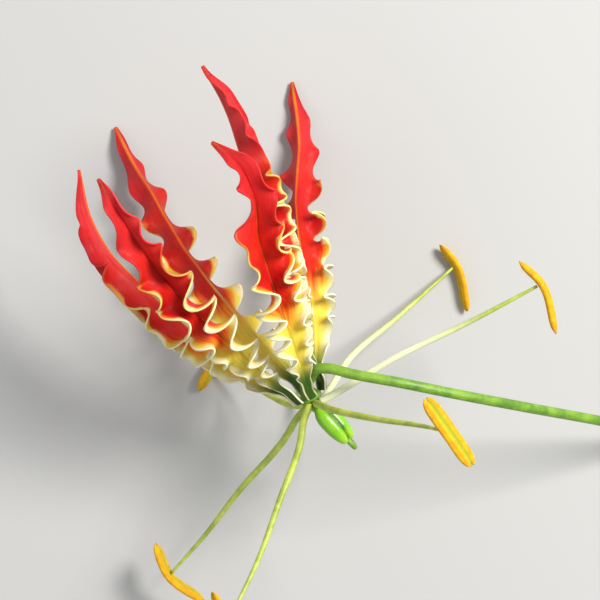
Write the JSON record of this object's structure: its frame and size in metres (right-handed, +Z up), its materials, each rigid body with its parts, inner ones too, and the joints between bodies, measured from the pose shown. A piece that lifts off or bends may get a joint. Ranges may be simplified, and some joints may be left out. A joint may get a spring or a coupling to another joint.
{
  "type": "glory lily flower",
  "caption": "Picked lily flower with swept-back ruffled red and yellow tepals, spreading stamens, a green ovary and a short stalk, lying on a surface.",
  "frame": {"origin": "on the surface the flower lies on, below the middle of its outline", "axes": "+X towards the cut end of the stalk's side, +Y towards the tips of the tepals, +Z up from the surface"},
  "size_m": [0.1264, 0.1146, 0.0729],
  "materials": {
    "petal_red": "satin petal, red above, yellow along the ruffled edges and towards the green claw",
    "stem_green": "satin green stalk",
    "filament_green": "satin yellow-green",
    "pollen_yellow": "powdery golden yellow",
    "ovary_green": "smooth bright green"
  },
  "bodies": {
    "root": {"stalk": "stem_green", "ovary": "ovary_green", "style": "filament_green", "tepal_1": "petal_red", "tepal_2": "petal_red", "tepal_3": "petal_red", "tepal_4": "petal_red", "tepal_5": "petal_red", "tepal_6": "petal_red", "filament_1": "filament_green", "filament_2": "filament_green", "filament_3": "filament_green", "filament_4": "filament_green", "filament_5": "filament_green", "filament_6": "filament_green", "anther_1": "pollen_yellow", "anther_2": "pollen_yellow", "anther_3": "pollen_yellow", "anther_4": "pollen_yellow", "anther_5": "pollen_yellow", "anther_6": "pollen_yellow"}
  },
  "joints": []
}
